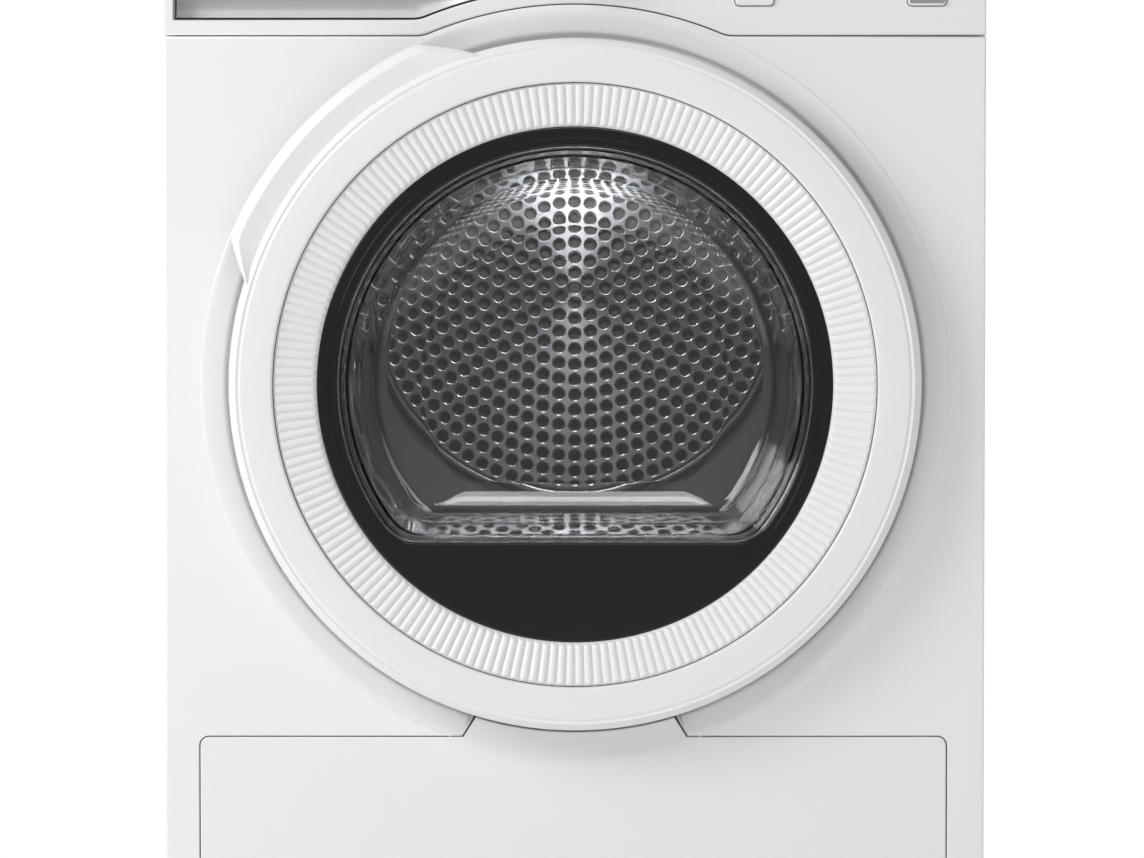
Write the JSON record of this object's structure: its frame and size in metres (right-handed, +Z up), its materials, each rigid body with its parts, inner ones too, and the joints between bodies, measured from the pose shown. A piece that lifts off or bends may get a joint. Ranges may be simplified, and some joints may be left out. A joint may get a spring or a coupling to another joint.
{
  "type": "clothes dryer",
  "caption": "Front-loading clothes dryer with a round porthole door, ribbed white door ring, black window surround, perforated steel drum, water-tank drawer and service flap.",
  "frame": {"origin": "on the floor under the centre of the machine's bounding box", "axes": "+Z up, -Y out of the front where the door is, +X to the right seen from the front"},
  "size_m": [0.596, 0.64, 0.85],
  "materials": {
    "base_tray": "matte black-grey moulding",
    "left_side_panel": "white enamel",
    "right_side_panel": "white enamel",
    "rear_panel": "galvanised sheet",
    "rear_duct_cover": "galvanised pressing",
    "worktop": "white top",
    "front_panel": "white enamel",
    "front_bulkhead": "galvanised sheet",
    "filter_housing": "grey moulding",
    "drum_front_seal": "felt",
    "door_gasket": "soft dark rubber",
    "console_fascia": "satin white moulding",
    "display_lens": "glossy black",
    "control_board": "green circuit board",
    "board_housing": "grey moulding",
    "program_knob": "brushed metal-look",
    "knob_encoder": "dark moulding",
    "power_button": "white moulding",
    "start_button": "white moulding",
    "water_tank": "translucent pale blue moulding",
    "water_tank_front": "satin white moulding",
    "tank_guide": "grey moulding",
    "door_ring": "satin white moulding",
    "ribbed_ring": "satin white moulding with radial ribs",
    "window_surround": "glossy black",
    "door_glass": "clear pressed glass",
    "door_liner": "grey moulding",
    "hinge_leaf": "stainless steel",
    "hinge_bracket": "zinc-plated steel",
    "latch_hook": "zinc-plated steel",
    "latch_catch": "dark moulding",
    "lint_filter": "grey frame with fine mesh",
    "drum_shell": "stainless steel",
    "drum_rear": "perforated stainless steel",
    "drum_lifter": "grey moulding",
    "drum_shaft": "ground steel",
    "drum_bearing": "bearing housing",
    "drive_belt": "ribbed rubber",
    "motor": "black paint",
    "motor_pulley": "turned steel",
    "fan_wheel": "grey moulding",
    "fan_housing": "dark moulding",
    "idler_pulley": "dark moulding",
    "idler_arm": "zinc-plated steel",
    "roller": "rubber-tyred roller",
    "compressor": "black paint",
    "evaporator": "aluminium fins",
    "condenser": "aluminium fins",
    "heat_exchanger_cover": "grey moulding",
    "lever": "dark moulding",
    "plinth_cover": "satin white moulding",
    "foot": "dark rubber",
    "cable_gland": "dark moulding"
  },
  "bodies": {
    "cabinet": {"base_tray": "base_tray", "left_side_panel": "left_side_panel", "right_side_panel": "right_side_panel", "rear_panel": "rear_panel", "rear_duct_cover": "rear_duct_cover", "worktop": "worktop", "front_panel": "front_panel", "front_bulkhead": "front_bulkhead", "filter_housing": "filter_housing", "drum_front_seal": "drum_front_seal", "door_gasket": "door_gasket", "console_fascia": "console_fascia", "display_lens": "display_lens", "control_board": "control_board", "board_housing": "board_housing", "knob_encoder": "knob_encoder", "tank_guide": "tank_guide", "hinge_bracket": "hinge_bracket", "latch_catch": "latch_catch", "drum_bearing": "drum_bearing", "drive_belt": "drive_belt", "motor": "motor", "fan_housing": "fan_housing", "idler_arm": "idler_arm", "evaporator": "evaporator", "condenser": "condenser", "compressor": "compressor", "heat_exchanger_cover": "heat_exchanger_cover", "foot_front_left": "foot", "foot_front_right": "foot", "foot_rear_left": "foot", "foot_rear_right": "foot", "cable_gland": "cable_gland"},
    "door": {"door_ring": "door_ring", "ribbed_ring": "ribbed_ring", "window_surround": "window_surround", "door_glass": "door_glass", "door_liner": "door_liner", "hinge_leaf": "hinge_leaf", "latch_hook": "latch_hook"},
    "drum": {"drum_shell": "drum_shell", "drum_rear": "drum_rear", "drum_lifter_1": "drum_lifter", "drum_lifter_2": "drum_lifter", "drum_lifter_3": "drum_lifter", "drum_shaft": "drum_shaft"},
    "motor_rotor": {"motor_pulley": "motor_pulley", "fan_wheel": "fan_wheel"},
    "idler": {"idler_pulley": "idler_pulley"},
    "roller_left": {"front_roller_left": "roller"},
    "roller_right": {"front_roller_right": "roller"},
    "knob": {"program_knob": "program_knob"},
    "power_key": {"power_button": "power_button"},
    "start_key": {"start_button": "start_button"},
    "tank_drawer": {"water_tank": "water_tank", "water_tank_front": "water_tank_front"},
    "filter": {"lint_filter": "lint_filter"},
    "plinth_door": {"plinth_cover": "plinth_cover"},
    "lever_left": {"cover_lever_left": "lever"},
    "lever_right": {"cover_lever_right": "lever"}
  },
  "joints": [
    {"name": "door_hinge", "type": "hinge", "parent": "cabinet", "child": "door", "pos_m": [0.244, -0.302, 0.47], "axis": [0, 0, 1], "range_deg": [0, 125]},
    {"name": "drum_spin", "type": "hinge", "parent": "cabinet", "child": "drum", "pos_m": [0, 0, 0.53], "axis": [0, 1, 0], "continuous": true},
    {"name": "motor_spin", "type": "hinge", "parent": "cabinet", "child": "motor_rotor", "pos_m": [0.13, -0.1, 0.15], "axis": [0, 1, 0], "continuous": true},
    {"name": "idler_spin", "type": "hinge", "parent": "cabinet", "child": "idler", "pos_m": [0.06164, -0.028, 0.14978], "axis": [0, 1, 0], "continuous": true},
    {"name": "roller_left_spin", "type": "hinge", "parent": "cabinet", "child": "roller_left", "pos_m": [-0.17511, -0.222, 0.27991], "axis": [0, 1, 0], "continuous": true},
    {"name": "roller_right_spin", "type": "hinge", "parent": "cabinet", "child": "roller_right", "pos_m": [0.17511, -0.222, 0.27991], "axis": [0, 1, 0], "continuous": true},
    {"name": "knob_turn", "type": "hinge", "parent": "cabinet", "child": "knob", "pos_m": [0, -0.3, 0.785], "axis": [0, 1, 0], "continuous": true},
    {"name": "power_press", "type": "slide", "parent": "cabinet", "child": "power_key", "axis": [0, 1, 0], "range_m": [0, 0.0015], "stiffness_N_per_m": 600},
    {"name": "start_press", "type": "slide", "parent": "cabinet", "child": "start_key", "axis": [0, 1, 0], "range_m": [0, 0.0015], "stiffness_N_per_m": 600},
    {"name": "tank_slide", "type": "slide", "parent": "cabinet", "child": "tank_drawer", "axis": [0, -1, 0], "range_m": [0, 0.4]},
    {"name": "filter_lift", "type": "slide", "parent": "cabinet", "child": "filter", "axis": [0, 0, 1], "range_m": [0, 0.02]},
    {"name": "plinth_cover_hinge", "type": "hinge", "parent": "cabinet", "child": "plinth_door", "pos_m": [0.2706, -0.282, 0.12], "axis": [0, 0, 1], "range_deg": [0, 100]},
    {"name": "lever_left_turn", "type": "hinge", "parent": "cabinet", "child": "lever_left", "pos_m": [-0.236, -0.264, 0.143], "axis": [0, 1, 0], "range_deg": [0, 90]},
    {"name": "lever_right_turn", "type": "hinge", "parent": "cabinet", "child": "lever_right", "pos_m": [-0.108, -0.264, 0.143], "axis": [0, -1, 0], "range_deg": [0, 90]}
  ],
  "couplings": [
    {"joint": "motor_spin", "follows": "drum_spin", "ratio": 20.214},
    {"joint": "idler_spin", "follows": "drum_spin", "ratio": -17.688},
    {"joint": "roller_left_spin", "follows": "drum_spin", "ratio": -12.864},
    {"joint": "roller_right_spin", "follows": "drum_spin", "ratio": -12.864}
  ]
}
